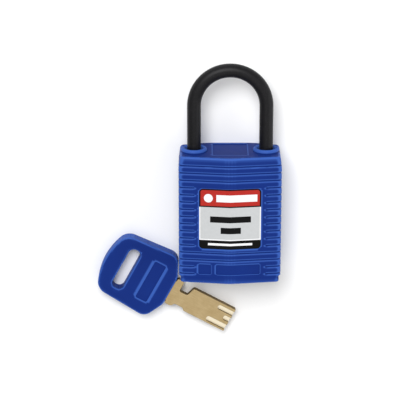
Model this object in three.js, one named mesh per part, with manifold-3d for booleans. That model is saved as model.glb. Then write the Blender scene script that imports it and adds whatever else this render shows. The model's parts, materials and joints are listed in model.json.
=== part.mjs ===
import * as THREE from 'three';
import { mergeVertices } from 'three/addons/utils/BufferGeometryUtils.js';
import Module from 'manifold-3d';

// Compact safety padlock lying on its back, with its key lying flat beside it.
// Millimetres. X across the body, Y up towards the shackle, Z out of the front face.

const wasm = await Module();
wasm.setup();

// Body: a flat-backed block with a V-shaped front, ribbed by grooves across it.
const BODY = {
  halfWidth: 17.5,
  halfHeight: 22.5,
  halfDepth: 10,
  edgeDrop: 2.46, // how much lower the faces are at the sides than in the middle
  backLand: 8, // half width of the flat strip on the back
  cornerRadius: 1,
  wall: 1.8,
  topWall: 3,
  topTaper: { width: 0.55, height: 4 },
  footStep: { width: 0.6, height: 1.9 },
  fit: 0.15,
};

const GROOVES = {
  rows: 16,
  top: 19.35,
  pitch: 2.58,
  width: 0.9,
  depth: 0.4,
  wholeRows: [0, 1, 2, 12, 13], // these run right round the body
  shortFrom: 12.1, // the others start this far from the middle
};

const LABEL = { halfWidth: 10.5, bottom: -9.85, top: 11.65, corner: 1.3, sunk: 0.05, thickness: 0.3, pocket: 0.4 };
const REAR_LABEL = { halfWidth: 7.5, halfHeight: 11, corner: 1.3, thickness: 0.3, pocket: 0.35 };
const COLLAR = { radius: 4.45, height: 1.2, mouthRadius: 2.95, mouthDepth: 0.5 };

const SHACKLE = {
  radius: 2.35,
  spacing: 12.25, // from the middle to each leg
  archStart: 38.3,
  heelEnd: -8,
  toeEnd: 10.9,
  steps: 26,
  bore: 2.55,
  heelFloor: -16,
  toeFloor: 5.6,
};

// The two locking balls sit in notches in the legs, held out by the cam between them.
const BALL = { radius: 2.1, x: 8.8, y: 16.3, channel: 2.3, notch: 2.3 };
const RAMP = { start: -0.2, end: -5.1 }; // the notch runs out downwards, measured from the ball
const PIN = { radius: 1, hole: 1.15, x: 9.6, y: 8.3, halfLength: 5 };
const RETENTION = { depth: 0.95, top: 9.6, bottom: -6, neckDepth: 1.05, neckTop: -3.4 };

const CAM = {
  chamberRadius: 7.1,
  chamberFloor: 14.1,
  bottom: 14.4,
  top: 18.2,
  high: 6.35,
  low: 3,
  highFrom: -25, // degrees: full radius from here, a slope down between the next two, then the low part
  slopeFrom: 0,
  slopeTo: 90,
  slot: { width: 5, height: 2.4 },
};

const CAP = { height: 3, hole: 6.8 };
const SCREW = { radius: 1.5, hole: 1.65, headRadius: 2.3, headHeight: 2, end: -21.2, seat: 5.8 };
const SLEEVE = { inner: 5.75, outer: 7, bore: 7.15, bottom: -19.2, top: 8 };
const SLEEVE_PIN = { radius: 0.8, hole: 0.95, x: 7, y: 0, halfLength: 6 };

const PLUG = {
  radius: 5.6,
  flangeRadius: 6.5,
  face: -22.2,
  flangeTop: -19.6,
  top: 10.4,
  keywayEnd: -1.3,
  keywayHeight: 2.7,
  channelEnd: 9,
  tail: { width: 4.6, height: 2, top: 17.4, hole: 3.4, webFrom: 10.7 },
};
const CLIP = { groove: 4.8, inner: 4.95, outer: 6.7, bottom: 8.55, top: 9.2, fit: 0.15, gap: 3 };

const SLIDER = { width: 2.1, height: 1.8, bottom: -11, top: -2, fit: 0.15 };

// Key, in its own frame: x along it from the end of the bow, y across, z through it.
const KEY = {
  at: [-42.35, -19.3],
  turn: -28.5,
  bowThickness: 5,
  bladeThickness: 2.3,
  neckFrom: 24.9,
  shoulderTo: 27.6,
  shoulder: 5.2,
  shoulderRound: 0.9,
  notch: { floor: 1.2, to: 31.8, slant: 1, corner: 0.5 }, // cut in the upper edge, behind the shoulder
  relief: { from: 28.3, to: 32.4, depth: 0.9 }, // the shallow cut opposite
  tip: 48.6,
  low: -4.7,
  high: 4.5,
  grooves: [
    { at: 2.65, length: 6.2, width: 1.7 },
    { at: 0, length: 2.6, width: 1.8 },
    { at: -3.05, length: 7.8, width: 1.9 },
  ],
  grooveDepth: 0.8,
  insert: { from: 10.2, halfWidth: 8, narrowFrom: 20, narrowTo: 22.6, narrow: 4 }, // moulded into the bow
  pocketFit: 0.3,
};

const material = (color, roughness, metalness = 0) =>
  new THREE.MeshStandardMaterial({ color, roughness, metalness });

const FINISH = {
  blueNylon: material('#1f4f9c', 0.5),
  blackPolymer: material('#1d1c20', 0.4),
  labelFilm: material('#c9ccd2', 0.35),
  writeOnFilm: material('#d9dade', 0.5),
  brass: material('#c2a06a', 0.35, 1),
  steel: material('#a9abae', 0.3, 1),
  zinc: material('#8e9094', 0.45, 1),
  springSteel: material('#7d7f84', 0.35, 1),
};

// Solids: three.js shapes in, manifold-3d for cuts and joins, three.js geometry out.

function solid(geometry) {
  const bare = geometry.clone();
  bare.deleteAttribute('normal');
  bare.deleteAttribute('uv');
  const merged = mergeVertices(bare, 1e-4);
  return new wasm.Manifold(
    new wasm.Mesh({
      numProp: 3,
      vertProperties: Float32Array.from(merged.attributes.position.array),
      triVerts: Uint32Array.from(merged.index.array),
    }),
  );
}

const cut = (body, ...tools) => tools.reduce((left, tool) => left.subtract(tool), body);
const join = (...bodies) => bodies.reduce((left, right) => left.add(right));

function mesh(name, body, finish) {
  const { vertProperties, triVerts } = body.getMesh();
  const geometry = new THREE.BufferGeometry();
  geometry.setAttribute('position', new THREE.BufferAttribute(vertProperties, 3));
  geometry.setIndex(new THREE.BufferAttribute(triVerts, 1));
  const made = new THREE.Mesh(geometry.toNonIndexed(), finish);
  made.geometry.computeVertexNormals();
  made.name = name;
  return made;
}

const block = (x0, x1, y0, y1, z0, z1) =>
  solid(new THREE.BoxGeometry(x1 - x0, y1 - y0, z1 - z0)
    .translate((x0 + x1) / 2, (y0 + y1) / 2, (z0 + z1) / 2));

const rodY = (radius, y0, y1, x = 0, sides = 24) =>
  solid(new THREE.CylinderGeometry(radius, radius, y1 - y0, sides).translate(x, (y0 + y1) / 2, 0));

const rodZ = (radius, x, y, z0, z1, sides = 16) =>
  solid(new THREE.CylinderGeometry(radius, radius, z1 - z0, sides)
    .rotateX(Math.PI / 2)
    .translate(x, y, (z0 + z1) / 2));

const rodX = (radius, y, halfLength, sides = 16) =>
  solid(new THREE.CylinderGeometry(radius, radius, 2 * halfLength, sides)
    .rotateZ(Math.PI / 2)
    .translate(0, y, 0));

const turned = (profile, sides = 24) =>
  solid(new THREE.LatheGeometry(profile.map(([r, y]) => new THREE.Vector2(r, y)), sides));

// A shape drawn in X and Z, carried along Y.
const prismY = (shape, y0, y1) =>
  solid(new THREE.ExtrudeGeometry(shape, { depth: y1 - y0, bevelEnabled: false, curveSegments: 4 })
    .rotateX(Math.PI / 2)
    .translate(0, y1, 0));

// A shape drawn in X and Y, carried along Z.
const prismZ = (shape, z0, z1) =>
  solid(new THREE.ExtrudeGeometry(shape, { depth: z1 - z0, bevelEnabled: false, curveSegments: 6 })
    .translate(0, 0, z0));

const polygon = (points) => new THREE.Shape(points.map(([x, y]) => new THREE.Vector2(x, y)));

// A polygon of [x, y, cutback] corners, each rounded from its cutback before it to the same after it.
function roundedPolygon(corners) {
  const points = corners.map(([x, y]) => new THREE.Vector2(x, y));
  const shape = new THREE.Shape();
  points.forEach((corner, i) => {
    const cutback = corners[i][2] ?? 0;
    const towards = (other) => other.clone().sub(corner).setLength(cutback).add(corner);
    const start = towards(points.at(i - 1));
    const end = towards(points[(i + 1) % points.length]);
    if (i === 0) {
      shape.moveTo(start.x, start.y);
    } else {
      shape.lineTo(start.x, start.y);
    }
    if (cutback > 0) {
      shape.quadraticCurveTo(corner.x, corner.y, end.x, end.y);
    }
  });
  return shape;
}

function roundedRectangle(x0, x1, y0, y1, radius) {
  const shape = new THREE.Shape();
  shape.moveTo(x0 + radius, y0);
  shape.lineTo(x1 - radius, y0);
  shape.absarc(x1 - radius, y0 + radius, radius, -Math.PI / 2, 0);
  shape.lineTo(x1, y1 - radius);
  shape.absarc(x1 - radius, y1 - radius, radius, 0, Math.PI / 2);
  shape.lineTo(x0 + radius, y1);
  shape.absarc(x0 + radius, y1 - radius, radius, Math.PI / 2, Math.PI);
  shape.lineTo(x0, y0 + radius);
  shape.absarc(x0 + radius, y0 + radius, radius, Math.PI, 1.5 * Math.PI);
  return shape;
}

class Helix extends THREE.Curve {
  constructor(radius, bottom, top, turns, x = 0) {
    super();
    Object.assign(this, { radius, bottom, top, turns, x });
  }

  getPoint(t, target = new THREE.Vector3()) {
    const angle = 2 * Math.PI * this.turns * t;
    return target.set(
      this.x + this.radius * Math.cos(angle),
      this.bottom + (this.top - this.bottom) * t,
      this.radius * Math.sin(angle),
    );
  }
}

function spring({ radius, wire, bottom, top, turns, x }) {
  const section = new THREE.Shape().absarc(0, 0, wire, 0, 2 * Math.PI);
  return solid(new THREE.ExtrudeGeometry(section, {
    steps: turns * 10,
    curveSegments: 3,
    extrudePath: new Helix(radius, bottom + wire, top - wire, turns, x),
  }));
}

// The body's cross-section. Its faces are straight lines, so insetting it moves each line in.

const frontSlope = BODY.edgeDrop / BODY.halfWidth;
const backSlope = BODY.edgeDrop / (BODY.halfWidth - BODY.backLand);
const frontZ = (x, inset) => BODY.halfDepth - frontSlope * Math.abs(x) - inset * Math.hypot(1, frontSlope);
const backZ = (x, inset) =>
  Math.max(
    -BODY.halfDepth + inset,
    -BODY.halfDepth + backSlope * (Math.abs(x) - BODY.backLand) + inset * Math.hypot(1, backSlope),
  );

// A round corner in two steps: how far each point is from the two faces, as a share of the radius.
const halfway = 1 - Math.SQRT1_2;
const cornerSteps = [[0, 1], [halfway, halfway], [1, 0]];

function bodySection(inset) {
  const side = BODY.halfWidth - inset;
  const round = Math.max(BODY.cornerRadius - inset, 0);
  const land = BODY.backLand - inset * (Math.hypot(1, backSlope) - 1) / backSlope;
  const half = [[land, -BODY.halfDepth + inset]];
  for (const [lift, push] of cornerSteps) {
    half.push([side - push * round, backZ(side - push * round, inset) + lift * round]);
  }
  for (const [lift, push] of cornerSteps.toReversed()) {
    half.push([side - push * round, frontZ(side - push * round, inset) - lift * round]);
  }
  const kept = half.filter(([x, z], i) => i === 0 || Math.hypot(x - half[i - 1][0], z - half[i - 1][1]) > 1e-6);
  const mirrored = kept.map(([x, z]) => [-x, z]).reverse();
  return polygon([...kept, [0, frontZ(0, inset)], ...mirrored]);
}

function frontStrip(halfWidth, outer, inner) {
  return polygon([
    [-halfWidth, frontZ(halfWidth, inner)],
    [0, frontZ(0, inner)],
    [halfWidth, frontZ(halfWidth, inner)],
    [halfWidth, frontZ(halfWidth, outer)],
    [0, frontZ(0, outer)],
    [-halfWidth, frontZ(halfWidth, outer)],
  ]);
}

function frontOutline() {
  const { halfWidth, halfHeight, topTaper, footStep } = BODY;
  const half = [
    [halfWidth - footStep.width, -halfHeight],
    [halfWidth - footStep.width, -halfHeight + footStep.height],
    [halfWidth, -halfHeight + footStep.height + footStep.width],
    [halfWidth, halfHeight - topTaper.height],
    [halfWidth - topTaper.width, halfHeight],
  ];
  return polygon([...half, ...half.map(([x, y]) => [-x, y]).reverse()]);
}

const clear = 1; // how far a cutting tool runs past the face that it cuts
const cavityTop = BODY.halfHeight - BODY.topWall;
const capTop = -BODY.halfHeight + CAP.height;
const coreInset = BODY.wall + BODY.fit;
const coreTop = cavityTop - BODY.fit;
const coreBottom = capTop + BODY.fit;

function grooveRing(row) {
  const { top, pitch, width, depth, wholeRows, shortFrom } = GROOVES;
  const low = top - pitch * row - width / 2;
  const high = low + width;
  const ring = cut(
    prismY(bodySection(-clear), low, high),
    prismY(bodySection(depth), low - clear, high + clear),
  );
  if (wholeRows.includes(row)) {
    return ring;
  }
  return cut(ring, block(-shortFrom, shortFrom, low - clear, high + clear, -2 * BODY.halfDepth, 2 * BODY.halfDepth));
}

function collar(side) {
  const top = BODY.halfHeight + COLLAR.height;
  const ring = cut(
    rodY(COLLAR.radius, BODY.halfHeight - clear, top, side * SHACKLE.spacing, 32),
    rodY(SHACKLE.bore, BODY.halfHeight - 2 * clear, top + clear, side * SHACKLE.spacing),
  );
  const mouth = turned([
    [0, top - COLLAR.mouthDepth],
    [SHACKLE.bore, top - COLLAR.mouthDepth],
    [COLLAR.mouthRadius, top],
    [COLLAR.mouthRadius, top + clear],
    [0, top + clear],
  ]).translate([side * SHACKLE.spacing, 0, 0]);
  return cut(ring, mouth);
}

function bodyShell() {
  const { halfHeight, halfDepth } = BODY;
  const blank = prismY(bodySection(0), -halfHeight, halfHeight)
    .intersect(prismZ(frontOutline(), -2 * halfDepth, 2 * halfDepth));
  const cavity = prismY(bodySection(BODY.wall), -halfHeight - clear, cavityTop);
  const holes = [-1, 1].map((side) =>
    rodY(SHACKLE.bore, cavityTop - clear, halfHeight + clear, side * SHACKLE.spacing));
  const grooves = Array.from({ length: GROOVES.rows }, (_, row) => grooveRing(row));
  const frontPocket = prismY(
    frontStrip(LABEL.halfWidth + BODY.fit, -clear, LABEL.pocket),
    LABEL.bottom - BODY.fit,
    LABEL.top + BODY.fit,
  );
  const rearPocket = block(
    -REAR_LABEL.halfWidth - BODY.fit,
    REAR_LABEL.halfWidth + BODY.fit,
    -REAR_LABEL.halfHeight - BODY.fit,
    REAR_LABEL.halfHeight + BODY.fit,
    -halfDepth - clear,
    -halfDepth + REAR_LABEL.pocket,
  );
  const shell = cut(blank, cavity, ...holes, ...grooves, frontPocket, rearPocket);
  return join(shell, collar(-1), collar(1));
}

function frontLabel() {
  const { halfWidth, bottom, top, corner, sunk, thickness } = LABEL;
  return prismY(frontStrip(halfWidth, sunk, sunk + thickness), bottom, top)
    .intersect(prismZ(roundedRectangle(-halfWidth, halfWidth, bottom, top, corner), 0, 2 * BODY.halfDepth));
}

function rearLabel() {
  const { halfWidth, halfHeight, corner, thickness } = REAR_LABEL;
  const outline = roundedRectangle(-halfWidth, halfWidth, -halfHeight, halfHeight, corner);
  return prismZ(outline, -BODY.halfDepth, -BODY.halfDepth + thickness);
}

function bottomCap() {
  return cut(
    prismY(bodySection(coreInset), -BODY.halfHeight, capTop),
    rodY(CAP.hole, -BODY.halfHeight - clear, capTop + clear, 0, 32),
    rodY(SCREW.hole, SCREW.end - BODY.fit, capTop + clear, SHACKLE.spacing, 16),
  );
}

function lockCore() {
  const { spacing, bore, heelFloor, toeFloor } = SHACKLE;
  const past = coreTop + clear;
  return cut(
    prismY(bodySection(coreInset), coreBottom, coreTop),
    rodY(SLEEVE.bore, coreBottom - clear, PLUG.tail.webFrom, 0, 32),
    rodY(PLUG.tail.hole, PLUG.tail.webFrom - clear, past),
    rodY(CAM.chamberRadius, CAM.chamberFloor, past, 0, 32),
    rodY(bore, heelFloor, past, -spacing),
    rodY(bore, toeFloor, past, spacing),
    rodY(SCREW.hole, coreBottom - clear, past, spacing, 16),
    rodX(BALL.channel, BALL.y, spacing, 20),
    rodZ(PIN.hole, -PIN.x, PIN.y, -PIN.halfLength - BODY.fit, BODY.halfDepth),
    rodZ(SLEEVE_PIN.hole, SLEEVE_PIN.x, SLEEVE_PIN.y, -SLEEVE_PIN.halfLength - BODY.fit, BODY.halfDepth),
  );
}

// The shackle's centre line: each straight leg is one step, and the arch is the steps between.
class ShackleLine extends THREE.Curve {
  getUtoTmapping(u) {
    return u;
  }

  getPoint(t, target = new THREE.Vector3()) {
    const { spacing, archStart, heelEnd, toeEnd, steps } = SHACKLE;
    const step = t * steps;
    if (step < 1) {
      return target.set(-spacing, heelEnd + (archStart - heelEnd) * step, 0);
    }
    if (step > steps - 1) {
      return target.set(spacing, toeEnd + (archStart - toeEnd) * (steps - step), 0);
    }
    const angle = Math.PI * (1 - (step - 1) / (steps - 2));
    return target.set(spacing * Math.cos(angle), archStart + spacing * Math.sin(angle), 0);
  }
}

function legNotch(side) {
  const reach = BALL.x + BALL.notch;
  const inner = SHACKLE.spacing - SHACKLE.radius;
  const ramp = polygon([
    [side * (inner - clear), BALL.y],
    [side * reach, BALL.y],
    [side * reach, BALL.y + RAMP.start],
    [side * inner, BALL.y + RAMP.end],
    [side * (inner - clear), BALL.y + RAMP.end],
  ]);
  const deep = 2 * SHACKLE.radius;
  return join(
    rodZ(BALL.notch, side * BALL.x, BALL.y, -deep, deep, 24),
    prismZ(ramp, -deep, deep),
  );
}

function shackle() {
  const { radius, spacing, steps } = SHACKLE;
  const bar = solid(new THREE.ExtrudeGeometry(new THREE.Shape().absarc(0, 0, radius, 0, 2 * Math.PI), {
    steps,
    curveSegments: 10,
    extrudePath: new ShackleLine(),
  }));
  const { depth, top, bottom, neckDepth, neckTop } = RETENTION;
  const slot = block(-spacing + radius - depth, -spacing + 2 * radius, bottom, top, -2 * radius, 2 * radius);
  const neck = cut(
    rodY(2 * radius, bottom, neckTop, -spacing),
    rodY(radius - neckDepth, bottom - clear, neckTop + clear, -spacing),
  );
  return cut(bar, legNotch(-1), legNotch(1), slot, neck);
}

const CUP = { radius: 2.3, thickness: 0.9, spigot: 1.1, spigotLength: 1.6, gap: 0.1 };

function springCup() {
  const top = SHACKLE.heelEnd - CUP.gap;
  return join(
    rodY(CUP.radius, top - CUP.thickness, top, -SHACKLE.spacing, 20),
    rodY(CUP.spigot, top - CUP.thickness - CUP.spigotLength, top - CUP.thickness / 2, -SHACKLE.spacing, 12),
  );
}

function caseScrew() {
  const { radius, headRadius, headHeight, end, seat } = SCREW;
  const head = cut(
    rodY(headRadius, seat, seat + headHeight, SHACKLE.spacing, 24),
    rodY(radius * 0.8, seat + headHeight / 2, seat + headHeight + clear, SHACKLE.spacing, 6),
  );
  return join(head, rodY(radius, end, seat + headHeight / 4, SHACKLE.spacing, 16));
}

function cylinderSleeve() {
  const { inner, outer, bottom, top } = SLEEVE;
  return cut(
    rodY(outer, bottom, top, 0, 32),
    rodY(inner, bottom - clear, top + clear, 0, 32),
    rodZ(SLEEVE_PIN.hole, SLEEVE_PIN.x, SLEEVE_PIN.y, -2 * outer, 2 * outer),
  );
}

function cylinderPlug() {
  const { radius, flangeRadius, face, flangeTop, top, keywayEnd, keywayHeight, channelEnd, tail } = PLUG;
  const keyFit = BODY.fit * 2;
  const channels = KEY.grooves.map(({ at }) => block(
    -at - SLIDER.width / 2 - SLIDER.fit,
    -at + SLIDER.width / 2 + SLIDER.fit,
    keywayEnd - clear,
    channelEnd,
    -SLIDER.height / 2 - SLIDER.fit,
    SLIDER.height / 2 + SLIDER.fit,
  ));
  const groove = cut(
    rodY(2 * radius, CLIP.bottom - CLIP.fit, CLIP.top + CLIP.fit),
    rodY(CLIP.groove, CLIP.bottom - clear, CLIP.top + clear),
  );
  return cut(
    join(
      rodY(radius, face + clear, top, 0, 32),
      rodY(flangeRadius, face, flangeTop, 0, 32),
      block(-tail.width / 2, tail.width / 2, top - clear, tail.top, -tail.height / 2, tail.height / 2),
    ),
    block(-KEY.high - keyFit, -KEY.low + keyFit, face - clear, keywayEnd, -keywayHeight / 2, keywayHeight / 2),
    groove,
    ...channels,
  );
}

function plugClip() {
  const { inner, outer, bottom, top, gap } = CLIP;
  return cut(
    rodY(outer, bottom, top, 0, 32),
    rodY(inner, bottom - clear, top + clear, 0, 32),
    block(-gap, gap, bottom - clear, top + clear, 0, 2 * outer),
  );
}

// The cam is the same over each half turn: full radius, a slope down, and a low part.
function camRadius(degrees) {
  const { high, low, highFrom, slopeFrom, slopeTo } = CAM;
  const angle = THREE.MathUtils.euclideanModulo(degrees - highFrom, 180) + highFrom;
  return THREE.MathUtils.mapLinear(THREE.MathUtils.clamp(angle, slopeFrom, slopeTo), slopeFrom, slopeTo, high, low);
}

function actuatorCam() {
  const step = 7.5;
  const points = Array.from({ length: 360 / step }, (_, i) => {
    const angle = THREE.MathUtils.degToRad(i * step);
    return [camRadius(i * step) * Math.cos(angle), camRadius(i * step) * Math.sin(angle)];
  });
  const { width, height } = CAM.slot;
  return cut(
    prismY(polygon(points), CAM.bottom, CAM.top),
    block(-width / 2, width / 2, CAM.bottom - clear, CAM.top + clear, -height / 2, height / 2),
  );
}

function keySlider(at) {
  const { width, height, bottom, top } = SLIDER;
  return block(-at - width / 2, -at + width / 2, bottom, top, -height / 2, height / 2);
}

// Key bow: a rounded trapezoid with a bulging end, and a slot for a ring.
const BOW = {
  endX: 1.2,
  endHalf: 11.3,
  endRound: 3.4,
  bulge: -1.4, // how far past the end's corners the middle of the end goes
  wideX: 21,
  wideHalf: 12.8,
  wideRound: 2.6,
  neckX: 24.6,
  neckHalf: 5.5,
  neckRound: 1.2,
  slot: { from: 4.9, to: 9.2, half: 8, end: 2 },
};

function bowOutline() {
  const { endX, endHalf, endRound, bulge, wideX, wideHalf, wideRound, neckX, neckHalf, neckRound, slot } = BOW;
  const bulgeHalf = endHalf / 3;
  const shape = roundedPolygon([
    [endX, -endHalf, endRound],
    [wideX, -wideHalf, wideRound],
    [neckX, -neckHalf, neckRound],
    [neckX, neckHalf, neckRound],
    [wideX, wideHalf, wideRound],
    [endX, endHalf, endRound],
    [bulge, bulgeHalf, bulgeHalf],
    [bulge, -bulgeHalf, bulgeHalf],
  ]);
  shape.holes.push(roundedRectangle(slot.from, slot.to, -slot.half, slot.half, slot.end));
  return shape;
}

// One side of the blade's hidden plate, from its end to where the blade leaves the bow.
function insertEdge(fit) {
  const { from, halfWidth, narrowFrom, narrowTo, narrow } = KEY.insert;
  return [
    [from - fit, halfWidth + fit],
    [narrowFrom + fit, halfWidth + fit],
    [narrowTo + fit, narrow + fit],
  ];
}

const mirrorAcross = (points) => points.map(([x, y]) => [x, -y]);

function keyBow() {
  const half = KEY.bowThickness / 2;
  const fit = KEY.pocketFit;
  const pocketHalf = KEY.bladeThickness / 2 + fit;
  const edge = [...insertEdge(fit), [KEY.neckFrom + clear, KEY.insert.narrow + fit]];
  const pocket = polygon([...mirrorAcross(edge), ...edge.slice().reverse()]);
  return cut(prismZ(bowOutline(), -half, half), prismZ(pocket, -pocketHalf, pocketHalf));
}

function keyBlade() {
  const { neckFrom, shoulderTo, shoulder, shoulderRound, tip, low, high, insert, grooves, grooveDepth } = KEY;
  const { notch, relief } = KEY;
  const outline = roundedPolygon([
    ...mirrorAcross(insertEdge(0)),
    [neckFrom, -insert.narrow],
    [neckFrom, -shoulder, shoulderRound],
    [shoulderTo, -shoulder, shoulderRound],
    [relief.from, low + relief.depth],
    [relief.to - relief.depth, low + relief.depth],
    [relief.to, low],
    [tip, low],
    [tip, high],
    [notch.to, high, notch.corner],
    [notch.to - notch.slant, notch.floor, notch.corner],
    [shoulderTo, notch.floor, notch.corner],
    [shoulderTo, shoulder, shoulderRound],
    [neckFrom, shoulder, shoulderRound],
    [neckFrom, insert.narrow],
    ...insertEdge(0).reverse(),
  ]);
  const half = KEY.bladeThickness / 2;
  const milled = grooves.map(({ at, length, width }) =>
    block(tip - length, tip + clear, at - width / 2, at + width / 2, half - grooveDepth, half + clear));
  return cut(prismZ(outline, -half, half), ...milled);
}

// Assembly: the padlock is built about the middle of its body, and the key beside it.

const padlock = new THREE.Group();
padlock.position.z = BODY.halfDepth;
padlock.add(
  mesh('body_shell', bodyShell(), FINISH.blueNylon),
  mesh('bottom_cap', bottomCap(), FINISH.blackPolymer),
  mesh('lock_core', lockCore(), FINISH.zinc),
  mesh('front_label', frontLabel(), FINISH.labelFilm),
  mesh('rear_label', rearLabel(), FINISH.writeOnFilm),
  mesh('shackle', shackle(), FINISH.blackPolymer),
  mesh('spring_cup', springCup(), FINISH.steel),
  mesh('retaining_pin', rodZ(PIN.radius, -PIN.x, PIN.y, -PIN.halfLength, PIN.halfLength), FINISH.steel),
  mesh('case_screw', caseScrew(), FINISH.steel),
  mesh('cylinder_sleeve', cylinderSleeve(), FINISH.brass),
  mesh(
    'sleeve_pin',
    rodZ(SLEEVE_PIN.radius, SLEEVE_PIN.x, SLEEVE_PIN.y, -SLEEVE_PIN.halfLength, SLEEVE_PIN.halfLength, 12),
    FINISH.steel,
  ),
  mesh('cylinder_plug', cylinderPlug(), FINISH.brass),
  mesh('plug_clip', plugClip(), FINISH.springSteel),
  mesh('actuator_cam', actuatorCam(), FINISH.steel),
);

const shackleSpring = {
  radius: 1.75,
  wire: 0.3,
  bottom: SHACKLE.heelFloor + 0.3,
  top: SHACKLE.heelEnd - CUP.gap - CUP.thickness - 0.2,
  turns: 7,
  x: -SHACKLE.spacing,
};
padlock.add(mesh('shackle_spring', spring(shackleSpring), FINISH.springSteel));

for (const [name, side] of [['ball_left', -1], ['ball_right', 1]]) {
  const ball = new THREE.SphereGeometry(BALL.radius, 16, 12).translate(side * BALL.x, BALL.y, 0);
  padlock.add(mesh(name, solid(ball), FINISH.steel));
}

KEY.grooves.forEach(({ at }, i) => {
  const sliderSpring = {
    radius: 0.7,
    wire: 0.17,
    bottom: SLIDER.top + 0.2,
    top: PLUG.channelEnd - 0.2,
    turns: 5,
    x: -at,
  };
  padlock.add(mesh(`key_slider_${i + 1}`, keySlider(at), FINISH.brass));
  padlock.add(mesh(`slider_spring_${i + 1}`, spring(sliderSpring), FINISH.springSteel));
});

const key = new THREE.Group();
key.position.set(...KEY.at, KEY.bowThickness / 2);
key.rotation.z = THREE.MathUtils.degToRad(KEY.turn);
key.add(
  mesh('key_bow', keyBow(), FINISH.blueNylon),
  mesh('key_blade', keyBlade(), FINISH.brass),
);

const group = new THREE.Group();
group.add(padlock, key);

export default group;
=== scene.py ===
import json
import math
import bmesh
import bpy
from mathutils import Matrix, Vector


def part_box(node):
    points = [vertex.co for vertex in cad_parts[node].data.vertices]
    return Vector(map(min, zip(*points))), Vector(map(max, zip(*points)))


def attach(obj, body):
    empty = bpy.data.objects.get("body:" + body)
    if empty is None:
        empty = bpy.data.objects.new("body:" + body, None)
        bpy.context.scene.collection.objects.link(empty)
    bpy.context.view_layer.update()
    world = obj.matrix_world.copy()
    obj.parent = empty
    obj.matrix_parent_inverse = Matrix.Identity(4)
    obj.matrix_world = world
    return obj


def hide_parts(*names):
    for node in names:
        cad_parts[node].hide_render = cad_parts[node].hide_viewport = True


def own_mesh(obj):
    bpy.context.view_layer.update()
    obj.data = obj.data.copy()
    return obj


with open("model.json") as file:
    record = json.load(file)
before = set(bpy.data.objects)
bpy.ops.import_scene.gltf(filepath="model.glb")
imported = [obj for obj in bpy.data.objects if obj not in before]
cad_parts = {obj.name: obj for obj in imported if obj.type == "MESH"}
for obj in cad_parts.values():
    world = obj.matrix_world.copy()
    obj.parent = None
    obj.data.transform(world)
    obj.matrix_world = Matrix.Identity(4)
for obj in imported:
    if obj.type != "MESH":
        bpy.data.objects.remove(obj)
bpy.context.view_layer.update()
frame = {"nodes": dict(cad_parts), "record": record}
print("frame loaded")

# Everything is modelled in millimetres in the frame's axes and scaled to metres when a piece is finished.
mm = 0.001


def boxOf(node):
    low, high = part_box(node)
    return Vector(low) / mm, Vector(high) / mm


# turning shapes into pieces

def newObject(bm, name):
    mesh = bpy.data.meshes.new(name)
    bm.to_mesh(mesh)
    bm.free()
    made = bpy.data.objects.new(name, mesh)
    bpy.context.scene.collection.objects.link(made)
    return made


def settle(made):
    # applies every modifier by swapping in the evaluated mesh
    bpy.context.view_layer.update()
    depsgraph = bpy.context.evaluated_depsgraph_get()
    settled = bpy.data.meshes.new_from_object(made.evaluated_get(depsgraph))
    made.modifiers.clear()
    made.data = settled


def combine(made, tools):
    # tools: list of (bmesh, operation); each is one manifold solid
    helpers = []
    for bm, operation in tools:
        helper = newObject(bm, "tool")
        step = made.modifiers.new("combine", "BOOLEAN")
        step.operation = operation
        step.solver = "MANIFOLD"
        step.object = helper
        helpers.append(helper)
    settle(made)
    for helper in helpers:
        bpy.data.objects.remove(helper)


def softenEdges(made, width, segments=3, angle=30):
    step = made.modifiers.new("edges", "BEVEL")
    step.width = width
    step.segments = segments
    step.limit_method = "ANGLE"
    step.angle_limit = math.radians(angle)
    step.use_clamp_overlap = True
    settle(made)


def cutAcross(bm, faces, place, normal):
    edges = dict.fromkeys(e for f in faces for e in f.edges)
    verts = dict.fromkeys(v for f in faces for v in f.verts)
    bmesh.ops.bisect_plane(bm, geom=[*verts, *edges, *faces], plane_co=place, plane_no=normal)


def gridCuts(made, step, axes, chosen):
    # cuts the chosen faces along a grid, so that shading by vertex stays local
    bm = bmesh.new()
    bm.from_mesh(made.data)
    bm.normal_update()
    for axis in axes:
        across = [v.co[axis] for v in bm.verts]
        normal = [0, 0, 0]
        normal[axis] = 1
        for line in range(math.ceil(min(across) / step), math.floor(max(across) / step) + 1):
            place = [0, 0, 0]
            place[axis] = line * step
            cutAcross(bm, [f for f in bm.faces if chosen(f)], place, normal)
    bm.to_mesh(made.data)
    bm.free()


def finishPiece(made, rides, slot, *replaced, sharpFrom=32):
    bm = bmesh.new()
    bm.from_mesh(made.data)
    bmesh.ops.remove_doubles(bm, verts=bm.verts, dist=1e-4)
    bmesh.ops.dissolve_degenerate(bm, edges=bm.edges, dist=1e-4)
    bmesh.ops.recalc_face_normals(bm, faces=bm.faces)
    bmesh.ops.scale(bm, vec=(mm, mm, mm), verts=bm.verts)
    for edge in bm.edges:
        edge.smooth = edge.calc_face_angle(0) < math.radians(sharpFrom)
    for face in bm.faces:
        face.smooth = True
    bm.to_mesh(made.data)
    bm.free()
    step = made.modifiers.new("normals", "WEIGHTED_NORMAL")
    step.mode = "FACE_AREA"
    step.keep_sharp = True
    settle(made)
    made.data.materials.clear()
    made.data.materials.append(finishes[slot])
    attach(made, rides)
    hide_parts(*replaced)
    print("finished", made.name, len(made.data.polygons), "faces")


# shapes, each a closed bmesh

def outlineFace(corners, lift=0.0):
    # corners: (x, y, rounding, steps); the face lies in the XY plane at z = lift
    bm = bmesh.new()
    verts = [bm.verts.new((x, y, lift)) for x, y, _, _ in corners]
    bm.faces.new(verts)
    for vert, (_, _, rounding, steps) in zip(verts, corners):
        if rounding > 0:
            bmesh.ops.bevel(bm, geom=[vert], offset=rounding, offset_type="OFFSET", affect="VERTICES",
                            segments=steps, profile=0.5, material=-1)
    return bm


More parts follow.
